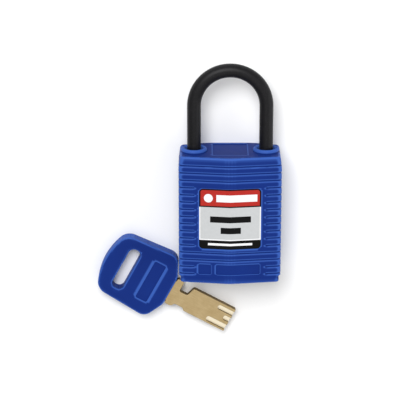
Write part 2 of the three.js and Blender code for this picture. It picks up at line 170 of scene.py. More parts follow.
def raiseFace(bm, height):
    # pushes the flat face up into a closed prism
    faces = list(bm.faces)
    raised = bmesh.ops.extrude_face_region(bm, geom=faces, use_keep_orig=True)
    moved = [v for v in raised["geom"] if isinstance(v, bmesh.types.BMVert)]
    bmesh.ops.translate(bm, vec=(0, 0, height), verts=moved)
    bmesh.ops.recalc_face_normals(bm, faces=bm.faces)
    return bm


def slab(corners, low, high):
    return raiseFace(outlineFace(corners, low), high - low)


def roundedCorners(x0, x1, y0, y1, rounding, steps=6):
    return [(x, y, rounding, steps) for x, y in ((x0, y0), (x1, y0), (x1, y1), (x0, y1))]


def brick(x0, x1, y0, y1, z0, z1):
    bm = bmesh.new()
    bmesh.ops.create_cube(bm, size=1)
    bmesh.ops.scale(bm, vec=(x1 - x0, y1 - y0, z1 - z0), verts=bm.verts)
    bmesh.ops.translate(bm, vec=((x0 + x1) / 2, (y0 + y1) / 2, (z0 + z1) / 2), verts=bm.verts)
    return bm


def turnedAboutY(profile, x, z, steps=64):
    # profile: (radius, y) from axis to axis
    bm = bmesh.new()
    verts = [bm.verts.new((radius, y, 0)) for radius, y in profile]
    edges = [bm.edges.new(pair) for pair in zip(verts, verts[1:])]
    bmesh.ops.spin(bm, geom=verts + edges, cent=(0, 0, 0), axis=(0, 1, 0), angle=2 * math.pi, steps=steps,
                   use_merge=True)
    bmesh.ops.remove_doubles(bm, verts=bm.verts, dist=1e-4)
    bmesh.ops.recalc_face_normals(bm, faces=bm.faces)
    bmesh.ops.translate(bm, vec=(x, 0, z), verts=bm.verts)
    return bm


def rod(radius, y0, y1, x, z, steps=48):
    return turnedAboutY([(0, y0), (radius, y0), (radius, y1), (0, y1)], x, z, steps)


def crossRod(radius, x, y, z0, z1, steps=48):
    bm = bmesh.new()
    bmesh.ops.create_cone(bm, cap_ends=True, segments=steps, radius1=radius, radius2=radius, depth=z1 - z0)
    bmesh.ops.translate(bm, vec=(x, y, (z0 + z1) / 2), verts=bm.verts)
    return bm


def standUp(bm, y):
    # turns an XY drawing to face along Y: its y becomes z, and its height runs down from y
    bmesh.ops.rotate(bm, cent=(0, 0, 0), matrix=Matrix.Rotation(math.pi / 2, 3, "X"), verts=bm.verts)
    bmesh.ops.translate(bm, vec=(0, y, 0), verts=bm.verts)
    return bm


# body: V-shaped front, flat strip down the back

shellLow, shellHigh = boxOf("body_shell")
capLow, capHigh = boxOf("bottom_cap")
shackleLow, shackleHigh = boxOf("shackle")

body = {
    "halfWidth": shellHigh.x,
    "base": shellLow.y,
    "collarTop": shellHigh.y,
    "collarHeight": 1.2,
    "depth": shellHigh.z,
    "edgeDrop": 2.46,
    "backLand": 8.0,
    "sideRound": 1.1,
    "ridgeRound": 1.6,
    "wall": 1.8,
    "topWall": 3.0,
    "taperWidth": 0.55,
    "taperHeight": 4.0,
    "footStep": 0.6,
    "footTop": -20.6,
    "topRound": 0.7,
    "baseRound": 0.35,
    "fit": 0.15,
    "faceStep": 0.45,
    "sideStep": 1.5,
    "roundSteps": 6,
    "rowGap": 0.02,
}
body["top"] = body["collarTop"] - body["collarHeight"]
lockZ = body["depth"] / 2

grooves = {
    "rows": 16,
    "top": 19.35,
    "pitch": 2.58,
    "depth": 0.42,
    "floor": (-0.12, 0.2),
    "upperEnd": 0.4,
    "lowerEnd": -0.72,
    "endSlope": 0.45,
    "whole": (0, 1, 2, 12, 13),
    "shortFrom": 12.1,
    "offsets": (-0.78, -0.72, -0.65, -0.57, -0.48, -0.39, -0.3, -0.23, -0.17, -0.13, -0.1, 0.04,
                0.17, 0.21, 0.25, 0.3, 0.35, 0.39, 0.44, 0.85, 1.3),
}

frontSlope = body["edgeDrop"] / body["halfWidth"]
backSlope = body["edgeDrop"] / (body["halfWidth"] - body["backLand"])


def frontZ(x, inset=0.0):
    return body["depth"] - frontSlope * abs(x) - inset * math.hypot(1, frontSlope)


def backZ(x, inset=0.0):
    return max(inset, backSlope * (abs(x) - body["backLand"]) + inset * math.hypot(1, backSlope))


def sectionCorners(inset, steps=6):
    # drawn in X and Z, for standUp
    side = body["halfWidth"] - inset
    land = body["backLand"] - inset * (math.hypot(1, backSlope) - 1) / backSlope
    rounding = max(body["sideRound"] - inset, 0.0)
    ridge = body["ridgeRound"] if inset <= 0 else 0.0
    return [
        (-land, inset, ridge, 3),
        (land, inset, ridge, 3),
        (side, backZ(side, inset), rounding, steps),
        (side, frontZ(side, inset), rounding, steps),
        (0.0, frontZ(0, inset), ridge, 3),
        (-side, frontZ(side, inset), rounding, steps),
        (-side, backZ(side, inset), rounding, steps),
    ]


def sectionPrism(inset, y0, y1):
    return standUp(slab(sectionCorners(inset), 0, y1 - y0), y1)


def grooveRow(y):
    nearest = round((grooves["top"] - y) / grooves["pitch"])
    return min(max(nearest, 0), grooves["rows"] - 1)


def grooveDepth(x, y):
    # a steep upper wall, a narrow floor and a lower wall that rounds over into the next rib
    row = grooveRow(y)
    off = y - (grooves["top"] - grooves["pitch"] * row)
    low, high = grooves["floor"]
    upper = min(max((off - high) / (grooves["upperEnd"] - high), 0), 1)
    lower = min(max((low - off) / (low - grooves["lowerEnd"]), 0), 1)
    share = 0.5 * (1 + math.cos(math.pi * upper)) if off > low else 1 - math.sqrt(1 - (1 - lower) ** 2)
    if row not in grooves["whole"]:
        into = min(max((abs(x) - grooves["shortFrom"]) / grooves["endSlope"], 0), 1)
        share *= into * into * (3 - 2 * into)
    return grooves["depth"] * share


def endRounding(y):
    # how far the skin steps in where it rounds over into the top and the base
    inset = 0.0
    for radius, left in ((body["topRound"], body["top"] - y), (body["baseRound"], y - body["base"])):
        if left < radius:
            inset += radius - math.sqrt(max(radius ** 2 - (radius - left) ** 2, 0))
    return inset


def bodyRows():
    ys = {body["base"], body["top"], body["top"] - body["taperHeight"]}
    ys |= {body["footTop"] + step * body["footStep"] / 4 for step in range(5)}
    steps = body["roundSteps"]
    for radius, end, way in ((body["topRound"], body["top"], -1), (body["baseRound"], body["base"], 1)):
        ys |= {end + way * radius * (1 - math.cos(math.pi / 2 * step / steps)) for step in range(steps + 1)}
    for row in range(grooves["rows"]):
        centre = grooves["top"] - grooves["pitch"] * row
        ys |= {centre + offset for offset in grooves["offsets"]}
    rows = []
    for y in sorted(ys):
        if not rows or y - rows[-1] > body["rowGap"]:
            rows.append(y)
    return rows


def widthAt(y):
    # the sides lean in near the top and step in at the foot
    half = body["halfWidth"]
    into = max(y - (body["top"] - body["taperHeight"]), 0) / body["taperHeight"]
    foot = min(max((body["footTop"] + body["footStep"] - y) / body["footStep"], 0), 1)
    return (half - body["taperWidth"] * into - body["footStep"] * foot) / half


def shellSkin():
    bm = outlineFace(sectionCorners(0.0))
    for edge in list(bm.edges):
        run = edge.calc_length()
        acrossX = abs(edge.verts[0].co.x - edge.verts[1].co.x) > run / 2
        cuts = int(run / body["faceStep" if acrossX else "sideStep"])
        if cuts:
            bmesh.ops.subdivide_edges(bm, edges=[edge], cuts=cuts)
    rows = bodyRows()
    standUp(bm, rows[0])
    ring = list(bm.edges)
    for below, above in zip(rows, rows[1:]):
        grown = bmesh.ops.extrude_edge_only(bm, edges=ring)["geom"]
        ring = [g for g in grown if isinstance(g, bmesh.types.BMEdge)
                and all(v in grown for v in g.verts)]
        verts = [g for g in grown if isinstance(g, bmesh.types.BMVert)]
        bmesh.ops.translate(bm, vec=(0, above - below, 0), verts=verts)
    bmesh.ops.edgeloop_fill(bm, edges=[e for e in bm.edges if e.is_boundary])
    bmesh.ops.recalc_face_normals(bm, faces=bm.faces)
    walls = [f for f in bm.faces if abs(f.normal.y) < 0.5]
    inward = {}
    for face in walls:
        for vert in face.verts:
            inward[vert] = inward.get(vert, Vector()) - face.normal
    for vert, way in inward.items():
        x, y = vert.co.x, vert.co.y
        way.normalize()
        vert.co += way * (grooveDepth(x, y) + endRounding(y))
        vert.co.x *= widthAt(y)
    return bm


def vStrip(corners, inner, outer):
    # a patch that follows the V-shaped front, from inner to outer depth below it
    bm = outlineFace(corners)
    cutAcross(bm, bm.faces[:], (0, 0, 0), (1, 0, 0))
    raiseFace(bm, 1)
    for vert in bm.verts:
        vert.co.z = frontZ(vert.co.x, inner if vert.co.z < 0.5 else outer)
    bmesh.ops.recalc_face_normals(bm, faces=bm.faces)
    return bm


collar = {
    "radius": 4.45,
    "bore": 2.55,
    "crown": ((0, 1.05), (0.08, 0.55), (0.25, 0.2), (0.55, 0)),  # in from the radius, down from the top
    "mouth": ((0, 1.3), (0.15, 0.95), (0.55, 0.4), (0.85, 0.1), (1.1, -0.01), (1.1, -1)),  # out from the bore
}
shackle = {
    "radius": (shackleHigh.z - shackleLow.z) / 2,
    "heelEnd": shackleLow.y,
    "toeEnd": 10.9,
    "chamfer": 0.35,
    "sides": 48,
    "bendSteps": 64,
    "heelSteps": 6,
    "toeSteps": 4,
}
shackle["spacing"] = shackleHigh.x - shackle["radius"]
shackle["archStart"] = shackleHigh.y - shackleHigh.x


def collarLump(x):
    top, root = body["collarTop"], body["top"] - 1
    crown = [(collar["radius"] - inward, top - down) for inward, down in collar["crown"]]
    return turnedAboutY([(0, root), (collar["radius"], root), *crown, (0, top)], x, lockZ, 72)


def collarBore(x):
    top, floor = body["collarTop"], body["top"] - 2 * body["topWall"]
    mouth = [(collar["bore"] + outward, top - down) for outward, down in collar["mouth"]]
    return turnedAboutY([(0, floor), (collar["bore"], floor), *mouth, (0, top + 1)], x, lockZ, 72)


label = {
    "halfWidth": 10.5,
    "bottom": -9.85,
    "top": 11.65,
    "corner": 1.3,
    "gap": 0.04,
    "pocket": 0.38,
    "sunk": 0.05,
    "film": 0.3,
    "edge": 0.06,
}
rearLabel = {"halfWidth": 7.5, "halfHeight": 11.0, "corner": 1.3, "pocket": 0.35, "film": 0.3}
plates = {
    "small": (-10.8, -6.4),
    "long": (-4.8, 10.3),
    "low": -19.2,
    "high": -15.6,
    "corner": 0.5,
    "depth": 0.22,
    "topHalfWidth": 5.9,
    "topLow": 1.9,
    "topHigh": 15.4,
    "topGrid": 0.5,
}


def isTopFace(face):
    return face.normal.y > 0.99 and face.calc_center_median().y > body["top"] - 1


def buildShell():
    made = newObject(shellSkin(), "shell")
    side = shackle["spacing"]
    fit = body["fit"]
    tools = [(collarLump(x), "UNION") for x in (-side, side)]
    hollow = sectionPrism(body["wall"], body["base"] - 1, body["top"] - body["topWall"])
    tools.append((hollow, "DIFFERENCE"))
    tools += [(collarBore(x), "DIFFERENCE") for x in (-side, side)]
    gap = label["gap"]
    pocket = roundedCorners(-label["halfWidth"] - gap, label["halfWidth"] + gap,
                            label["bottom"] - gap, label["top"] + gap, label["corner"] + gap)
    tools.append((vStrip(pocket, label["pocket"], -1), "DIFFERENCE"))
    for left, right in (plates["small"], plates["long"]):
        plate = roundedCorners(left, right, plates["low"], plates["high"], plates["corner"])
        tools.append((vStrip(plate, plates["depth"], -1), "DIFFERENCE"))
    across, along = rearLabel["halfWidth"] + fit, rearLabel["halfHeight"] + fit
    rear = roundedCorners(-across, across, -along, along, rearLabel["corner"] + fit)
    tools.append((slab(rear, -1, rearLabel["pocket"]), "DIFFERENCE"))
    topPlate = slab(roundedCorners(-plates["topHalfWidth"], plates["topHalfWidth"], plates["topLow"],
                                   plates["topHigh"], plates["corner"]), 0, 2)
    tools.append((standUp(topPlate, body["top"] + 2 - plates["depth"]), "DIFFERENCE"))
    combine(made, tools)
    gridCuts(made, plates["topGrid"], (0, 2), isTopFace)
    return made


# shackle: one bar, with its notches

def shackleBar():
    bm = bmesh.new()
    radius, side, start, chamfer = (shackle[size] for size in ("radius", "spacing", "archStart", "chamfer"))
    bmesh.ops.create_circle(bm, cap_ends=True, segments=shackle["sides"], radius=radius - chamfer)
    bmesh.ops.rotate(bm, cent=(0, 0, 0), matrix=Matrix.Rotation(-math.pi / 2, 3, "X"), verts=bm.verts)
    bmesh.ops.translate(bm, vec=(-side, shackle["heelEnd"], lockZ), verts=bm.verts)

    def pushOn(faces, distance, grow=1.0):
        grown = bmesh.ops.extrude_discrete_faces(bm, faces=faces)["faces"]
        verts = {v for f in grown for v in f.verts}
        centre = grown[0].calc_center_median()
        bmesh.ops.scale(bm, vec=(grow, 1, grow), space=Matrix.Translation(-centre), verts=list(verts))
        bmesh.ops.translate(bm, vec=(0, distance, 0), verts=list(verts))
        return grown

    first = pushOn(list(bm.faces), chamfer, radius / (radius - chamfer))
    for _ in range(shackle["heelSteps"]):
        first = pushOn(first, (start - shackle["heelEnd"] - chamfer) / shackle["heelSteps"])
    turned = bmesh.ops.spin(bm, geom=first, cent=(0, start, lockZ), axis=(0, 0, -1), angle=math.pi,
                            steps=shackle["bendSteps"])
    last = [g for g in turned["geom_last"] if isinstance(g, bmesh.types.BMFace)]
    for _ in range(shackle["toeSteps"]):
        last = pushOn(last, -(start - shackle["toeEnd"] - chamfer) / shackle["toeSteps"])
    pushOn(last, -chamfer, (radius - chamfer) / radius)
    bmesh.ops.remove_doubles(bm, verts=bm.verts, dist=1e-4)
    discs = {f: f.calc_center_median().y for f in bm.faces if len(f.verts) > 4}
    ends = shackle["heelEnd"], shackle["toeEnd"]
    inner = [f for f, y in discs.items() if all(abs(y - end) > 0.01 for end in ends)]
    bmesh.ops.delete(bm, geom=inner, context="FACES_ONLY")
    bmesh.ops.recalc_face_normals(bm, faces=bm.faces)
    return bm


notch = {"ballX": 8.8, "ballY": 16.3, "radius": 2.3, "rampStart": -0.2, "rampEnd": -5.1, "overlap": 0.01}
retention = {"depth": 0.95, "top": 9.6, "bottom": -6.0, "neckRadius": 1.3, "neckTop": -3.4}


def buildShackle():
    made = newObject(shackleBar(), "shackleBar")
    side, radius = shackle["spacing"], shackle["radius"]
    inner = side - radius
    deep = 2 * radius
    low, high = lockZ - deep, lockZ + deep
    ballX, ballY = notch["ballX"], notch["ballY"]
    reach = ballX + notch["radius"] - notch["overlap"]
    ramp = [(inner - 1, ballY), (reach, ballY - notch["overlap"]), (reach, ballY + notch["rampStart"]),
            (inner, ballY + notch["rampEnd"]), (inner - 1, ballY + notch["rampEnd"])]
    tools = []
    for way in (-1, 1):
        tools.append((crossRod(notch["radius"], way * ballX, ballY, low, high), "DIFFERENCE"))
        tools.append((slab([(way * x, y, 0, 0) for x, y in ramp], low, high), "DIFFERENCE"))
    bottom, top = retention["bottom"], retention["top"]
    flat = brick(-side + radius - retention["depth"], -side + deep, bottom, top, low, high)
    tools.append((flat, "DIFFERENCE"))
    neck, neckTop = retention["neckRadius"], retention["neckTop"]
    ring = [(neck, bottom), (deep, bottom), (deep, neckTop), (neck, neckTop), (neck, bottom)]
    tools.append((turnedAboutY(ring, -side, lockZ), "DIFFERENCE"))
    combine(made, tools)
    return made


# labels: thin films bent or laid into their pockets

def buildFrontLabel():
    corners = roundedCorners(-label["halfWidth"], label["halfWidth"], label["bottom"], label["top"],
                             label["corner"], 10)
    made = newObject(vStrip(corners, label["sunk"] + label["film"], label["sunk"]), "frontLabelFilm")
    softenEdges(made, label["edge"], 2)
    return made


def buildRearLabel():
    corners = roundedCorners(-rearLabel["halfWidth"], rearLabel["halfWidth"], -rearLabel["halfHeight"],
                             rearLabel["halfHeight"], rearLabel["corner"], 10)
    made = newObject(slab(corners, 0, rearLabel["film"]), "rearLabelFilm")
    softenEdges(made, label["edge"], 2)
    return made


# cap and cylinder, seen from the base

cap = {"mouth": 7.35, "bore": 6.8, "flare": 0.5, "screwHole": 1.65, "screwFloor": 1.15, "edge": 0.25}


def buildCap():
    inset = body["wall"] + body["fit"]
    low, high = capLow.y, capHigh.y
    made = newObject(sectionPrism(inset, low, high), "baseCap")
    mouth, bore = cap["mouth"], cap["bore"]
    profile = [(0, low - 1), (mouth, low - 1), (mouth, low), (bore, low + cap["flare"]), (bore, high + 1),
               (0, high + 1)]
    hole = turnedAboutY(profile, 0, lockZ, 96)
    screwHole = rod(cap["screwHole"], low + cap["screwFloor"], high + 1, shackle["spacing"], lockZ, 32)
    combine(made, [(hole, "DIFFERENCE"), (screwHole, "DIFFERENCE")])
    softenEdges(made, cap["edge"], 3, 40)
    return made


plugLow, plugHigh = boxOf("cylinder_plug")
plug = {
    "face": plugLow.y,
    "flange": plugHigh.x,
    "flangeTop": -19.6,
    "body": 5.6,
    "top": 10.4,
    "tailTop": plugHigh.y,
    "tail": (4.6, 2.0),  # width, thickness
    "keyway": (-4.4, 5.0, 2.7, -1.3),  # left, right, height, end
    "channels": (-2.65, 0.0, 3.05),
    "channelSize": (2.4, 2.1, 9.0),  # width, height, end
    "clip": (8.4, 9.35, 4.8),  # low, high, radius of its groove
    "ring": ((1.3, 0), (1.15, 0.15), (0.95, 0.15), (0.8, 0)),  # in from the flange, into the face
    "edges": (0.3, 0.1, 0.2),  # face, back of the flange, inner end
}


def buildPlug():
    face, flange = plug["face"], plug["flange"]
    clipLow, clipHigh, clipRadius = plug["clip"]
    front, back, end = plug["edges"]
    profile = [
        (0, face), *((flange - inward, face + deep) for inward, deep in plug["ring"]),
        (flange - front, face), (flange, face + front), (flange, plug["flangeTop"] - back),
        (flange - back, plug["flangeTop"]), (plug["body"], plug["flangeTop"]), (plug["body"], clipLow),
        (clipRadius, clipLow), (clipRadius, clipHigh), (plug["body"], clipHigh),
        (plug["body"], plug["top"] - end), (plug["body"] - end, plug["top"]), (0, plug["top"]),
    ]
    made = newObject(turnedAboutY(profile, 0, lockZ, 96), "plugBody")
    wide, high = (size / 2 for size in plug["tail"])
    tail = brick(-wide, wide, plug["top"] - 1, plug["tailTop"], lockZ - high, lockZ + high)
    left, right, tall, deep = plug["keyway"]
    keyway = brick(left, right, face - 1, deep, lockZ - tall / 2, lockZ + tall / 2)
    tools = [(tail, "UNION"), (keyway, "DIFFERENCE")]
    wide, high, far = plug["channelSize"]
    for x in plug["channels"]:
        channel = brick(x - wide / 2, x + wide / 2, deep - 1, far, lockZ - high / 2, lockZ + high / 2)
        tools.append((channel, "DIFFERENCE"))
    combine(made, tools)
    return made


# key, drawn along its own axis and then laid in place

key = {
    "at": (-42.35, -19.3),
    "turn": -28.5,
    "thick": 5.0,
    "blade": 2.3,
    "edge": 1.0,
    "bladeEdge": 0.12,
    "insert": (10.2, 8.0, 20.0, 22.6, 4.0),  # start, half width, narrowing from and to, half width after
    "pocketFit": 0.3,
    "neckFrom": 24.9,
    "shoulderTo": 27.6,
    "shoulder": 5.2,
    "relief": (28.3, 31.5, 32.4, 0.9),  # from, to, end of its slope, rise
    "notch": (30.8, 31.8, 1.2),  # to, end of its slope, floor
    "tip": 48.6,
    "low": -4.7,
    "high": 4.5,
    "neckRound": (0.8, 6),  # roundings: radius, steps
    "shoulderRound": (0.9, 6),
    "reliefRound": (0.3, 3),
    "tipRound": (0.35, 4),
    "notchRound": (0.5, 4),
    "notchFloorRound": (0.4, 4),
    "grooveDepth": 0.8,
    "grooveRound": 0.42,  # share of a groove's width
    "grooves": ((2.65, 6.2, 1.7), (0.0, 2.6, 1.8), (-3.05, 7.8, 1.9)),  # across, length, width
    "slot": (4.9, 9.2, 8.0),  # from, to, half length
    "slotRound": (2.0, 10),
    "panel": (14.6, 19.0, 7.6),
    "panelRound": 0.6,
    "panelDepth": 0.2,
    "half": ((1.2, 11.3, 3.0), (21.0, 12.8, 2.4), (24.6, 5.5, 1.0)),  # corners: x, y, rounding
    "bulge": (-1.31, 3.77, 3.4),
    "grid": 0.7,
}


def layKey(made):
    turn = Matrix.Rotation(math.radians(key["turn"]), 4, "Z")
    made.data.transform(Matrix.Translation((*key["at"], key["thick"] / 2)) @ turn)


def bowCorners():
    lower = [(x, -y, rounding, 8) for x, y, rounding in key["half"]]
    upper = [(x, y, rounding, 8) for x, y, rounding in reversed(key["half"])]
    x, y, rounding = key["bulge"]
    return lower + upper + [(x, y, rounding, 10), (x, -y, rounding, 10)]


def insertCorners(fit, far):
    start, half, narrowFrom, narrowTo, narrow = key["insert"]
    edge = [(start - fit, half + fit), (narrowFrom + fit, half + fit), (narrowTo + fit, narrow + fit),
            (far, narrow + fit)]
    return [(x, -y, 0, 0) for x, y in edge] + [(x, y, 0, 0) for x, y in reversed(edge)]


def buildBow():
    half = key["thick"] / 2
    made = newObject(slab(bowCorners(), -half, half), "keyGrip")
    x0, x1, y1 = key["slot"]
    slot = roundedCorners(x0, x1, -y1, y1, *key["slotRound"])
    combine(made, [(slab(slot, -half - 1, half + 1), "DIFFERENCE")])
    softenEdges(made, key["edge"], 6, 50)
    x0, x1, y1 = key["panel"]
    plate = roundedCorners(x0, x1, -y1, y1, key["panelRound"])
    pocketHalf = key["blade"] / 2 + key["pocketFit"]
    combine(made, [
        (slab(plate, half - key["panelDepth"], half + 1), "DIFFERENCE"),
        (slab(plate, -half - 1, -half + key["panelDepth"]), "DIFFERENCE"),
        (slab(insertCorners(key["pocketFit"], key["neckFrom"] + 2), -pocketHalf, pocketHalf), "DIFFERENCE"),
    ])
    gridCuts(made, key["grid"], (0, 1), lambda face: True)
    layKey(made)
    return made


def buildBlade():
    half = key["blade"] / 2
    neck, wide, shoulder = key["neckFrom"], key["shoulderTo"], key["shoulder"]
    low, high, tip = key["low"], key["high"], key["tip"]
    reliefFrom, reliefTo, wideFrom, relief = key["relief"]
    notchTo, topFrom, floor = key["notch"]
    lower = [corner for corner in insertCorners(0, neck) if corner[1] < 0]
    upper = [corner for corner in insertCorners(0, neck) if corner[1] > 0]
    outline = lower + [
        (neck, -shoulder, *key["neckRound"]), (wide, -shoulder, *key["shoulderRound"]),
        (reliefFrom, low + relief, *key["reliefRound"]), (reliefTo, low + relief, *key["reliefRound"]),
        (wideFrom, low, *key["reliefRound"]), (tip, low, *key["tipRound"]), (tip, high, *key["tipRound"]),
        (topFrom, high, *key["notchRound"]), (notchTo, floor, *key["notchFloorRound"]),
        (wide, floor, *key["notchRound"]), (wide, shoulder, *key["shoulderRound"]),
        (neck, shoulder, *key["neckRound"]),
    ] + upper
    made = newObject(slab(outline, -half, half), "keyShank")
    tools = []
    for across, length, width in key["grooves"]:
        start, rounding = tip - length, width * key["grooveRound"]
        below, above = across - width / 2, across + width / 2
        groove = [(start, below, rounding, 6), (tip + 1, below, 0, 0), (tip + 1, above, 0, 0),
                  (start, above, rounding, 6)]
        tools.append((slab(groove, half - key["grooveDepth"], half + 1), "DIFFERENCE"))
    combine(made, tools)
    softenEdges(made, key["bladeEdge"], 3, 40)
    layKey(made)
    return made


# slider springs, each built as a fixed coil as long as its part

spring = {"wire": 0.17, "turns": 5, "stepsPerTurn": 24, "sides": 10}


def buildSliderSpring(low, high):
    wire = spring["wire"]
    steps = spring["turns"] * spring["stepsPerTurn"]
    climb = (high.y - low.y - 2 * wire) / steps
    bm = bmesh.new()
    bmesh.ops.create_circle(bm, segments=spring["sides"], radius=wire)
    bmesh.ops.translate(bm, vec=((high.x - low.x) / 2 - wire, low.y + wire, 0), verts=bm.verts)
    bmesh.ops.spin(bm, geom=bm.verts[:] + bm.edges[:], cent=(0, 0, 0), axis=(0, 1, 0), dvec=(0, climb, 0),
                   angle=2 * math.pi * spring["turns"], steps=steps)
    bmesh.ops.edgeloop_fill(bm, edges=[e for e in bm.edges if e.is_boundary])
    bmesh.ops.recalc_face_normals(bm, faces=bm.faces)
    bmesh.ops.translate(bm, vec=((low.x + high.x) / 2, 0, lockZ), verts=bm.verts)
    return newObject(bm, "sliderSpring")


# finishes

def tint(red, green, blue):
    # display colour, 0 to 255, as linear light
    parts = [c / 255 for c in (red, green, blue)]
    return tuple(c / 12.92 if c <= 0.04045 else ((c + 0.055) / 1.055) ** 2.4 for c in parts) + (1.0,)


class Signal:
    # a socket that takes part in arithmetic, each operator adding its Math node
    def __init__(self, finish, socket):
        self.finish = finish
        self.socket = socket

    def math(self, operation, *values):
        return self.finish.node("ShaderNodeMath", {"operation": operation}, dict(enumerate(values)))

    def __add__(self, other):
        return self.math("ADD", self, other)

    def __sub__(self, other):
        return self.math("SUBTRACT", self, other)

    def __rsub__(self, other):
        return self.math("SUBTRACT", other, self)

    def __mul__(self, other):
        return self.math("MULTIPLY", self, other)

    __radd__ = __add__
    __rmul__ = __mul__

    def __abs__(self):
        return self.math("ABSOLUTE", self)

    def below(self, edge):
        return self.math("LESS_THAN", self, edge)

    def above(self, edge):
        return self.math("GREATER_THAN", self, edge)

    def larger(self, other):
        return self.math("MAXIMUM", self, other)


class Finish:
    def __init__(self, name):
        self.material = bpy.data.materials.new(name)
        self.material.use_nodes = True
        self.tree = self.material.node_tree
        self.tree.nodes.clear()
        self.shader = self.tree.nodes.new("ShaderNodeBsdfPrincipled")
        output = self.tree.nodes.new("ShaderNodeOutputMaterial")
        self.tree.links.new(self.shader.outputs[0], output.inputs["Surface"])
        self.place = self.node("ShaderNodeTexCoord", {}, {}, "Object")

    def node(self, kind, settings, sockets, output=0):
        made = self.tree.nodes.new(kind)
        for setting, value in settings.items():
            if setting == "stops":
                ramp = made.color_ramp
                while len(ramp.elements) < len(value):
                    ramp.elements.new(0.5)
                for element, (position, colour) in zip(ramp.elements, value):
                    element.position = position
                    element.color = colour
            else:
                setattr(made, setting, value)
        for socket, value in sockets.items():
            self.feed(made.inputs[socket], value)
        return Signal(self, made.outputs[output])

    def feed(self, socket, value):
        if isinstance(value, Signal):
            self.tree.links.new(value.socket, socket)
        else:
            socket.default_value = value

    def set(self, **values):
        # keys are the shader's socket names with underscores for spaces
        for name, value in values.items():
            self.feed(self.shader.inputs[name.replace("_", " ")], value)

    def noise(self, scale, detail=3.0, roughness=0.5, place=None):
        return self.node("ShaderNodeTexNoise", {}, {"Vector": place or self.place, "Scale": scale,
                                                    "Detail": detail, "Roughness": roughness})

    def stretched(self, size, turn=0.0):
        # coordinates in units of size, along axes turned about Z
        return self.node("ShaderNodeMapping", {"vector_type": "TEXTURE"},
                         {"Vector": self.place, "Scale": size, "Rotation": (0, 0, turn)})

    def blend(self, factor, first, second):
        return self.node("ShaderNodeMix", {"data_type": "RGBA"}, {0: factor, 6: first, 7: second}, 2)

    def ramp(self, value, *stops):
        return self.node("ShaderNodeValToRGB", {"stops": [(p, (v, v, v, 1)) for p, v in stops]}, {0: value})

    def split(self, vector=None):
        made = self.node("ShaderNodeSeparateXYZ", {}, {0: vector or self.place}).socket.node
        return [Signal(self, out) for out in made.outputs]

    def bump(self, height, distance, strength):
        return self.node("ShaderNodeBump", {}, {"Height": height, "Distance": distance, "Strength": strength})

    def wornAndSheenEdges(self, low, high):
        # 1 on sharp outer edges, 0 elsewhere; used to paint those edges paler, partly as wear and partly as
        # painted highlight
        return self.ramp(self.node("ShaderNodeNewGeometry", {}, {}, "Pointiness"), (low, 0), (high, 1))

    def cutSides(self):
        # 1 on faces that stand upright, 0 on those that lie flat
        _, _, lift = self.split(self.node("ShaderNodeTexCoord", {}, {}, "Normal"))
        return self.ramp(abs(lift), (0.25, 1), (0.5, 0))


def mouldedNylon(name, deep, pale, scuffAndSheen):
    # satin moulded nylon: a soft grain, faint flow marks and smoother edges painted paler, partly as wear and
    # partly as painted highlight
    finish = Finish(name)
    flow = finish.noise(90, 4, 0.6)
    grain = finish.noise(3800, 2, 0.6)
    pores = finish.noise(9000, 1, 0.5)
    edges = finish.wornAndSheenEdges(0.503, 0.517)
    colour = finish.blend(flow, deep, pale)
    # the paler edge colour on groove, collar and bow edges is partly wear and partly painted highlight
    colour = finish.blend(edges * 0.55, colour, scuffAndSheen)
    finish.set(Base_Color=colour, Roughness=0.54 + 0.16 * flow - 0.08 * edges, Specular_IOR_Level=0.14,
               Normal=finish.bump(grain + 0.5 * pores, 0.00002, 0.55))
    return finish.material


def fibrePlastic(name):
    # fibre-filled black plastic, with paler specks in the skin
    finish = Finish(name)
    flow = finish.noise(140, 4, 0.6)
    specks = finish.ramp(finish.noise(3600, 2, 0.7), (0.55, 0), (0.72, 1))
    grain = finish.noise(4200, 3, 0.65)
    colour = finish.blend(flow, tint(6, 6, 8), tint(15, 14, 17))
    colour = finish.blend(specks * 0.3, colour, tint(70, 68, 72))
    finish.set(Base_Color=colour, Roughness=0.38 + 0.14 * flow, Specular_IOR_Level=0.22,
               Normal=finish.bump(grain, 0.00003, 0.6))
    return finish.material


def metal(name, dark, bright, roughness, lines, turn=0.0, tarnish=0.25, sawnAndDarkReflection=None, milledAndHighlight=None):
    # fine drawn lines and a faint tarnish
    # the cut-side colour darkens upright faces, partly as a duller cut finish and partly as painted dark
    # reflection; the groove-floor colour brightens faces between two heights, partly as newly cut metal and
    # partly as painted highlight
    finish = Finish(name)
    drawn = finish.noise(1.0, 3, 0.6, finish.stretched(lines, turn))
    cloud = finish.noise(260, 4, 0.6)
    pits = finish.ramp(finish.noise(2600, 2, 0.6), (0.6, 0), (0.75, 1))
    colour = finish.blend(finish.ramp(drawn * 0.5 + cloud * 0.5, (0.25, 0), (0.75, 1)), dark, bright)
    colour = finish.blend(pits * tarnish, colour, dark)
    rough = roughness + 0.12 * cloud + 0.06 * drawn
    # faces between two heights, the groove floors, get a paler colour: partly newly cut metal, partly painted
    # highlight
    if milledAndHighlight:
        freshAndHighlight, low, high = milledAndHighlight
        _, _, z = finish.split()
        colour = finish.blend(z.above(low * mm) * z.below(high * mm), colour, freshAndHighlight)
    # upright faces, the blade's sides and groove walls, are painted near black: partly a duller cut finish,
    # partly painted dark reflection
    if sawnAndDarkReflection:
        ridges = finish.noise(1.0, 2, 0.7, finish.stretched((1 / 3000, 1 / 3000, 1 / 250), turn))
        sides = finish.cutSides()
        colour = finish.blend(sides, colour, finish.blend(ridges, sawnAndDarkReflection, dark))
        rough = rough + 0.25 * sides
    finish.set(Base_Color=colour, Metallic=1.0, Roughness=rough, Normal=finish.bump(drawn, 0.000006, 0.35))
    return finish.material


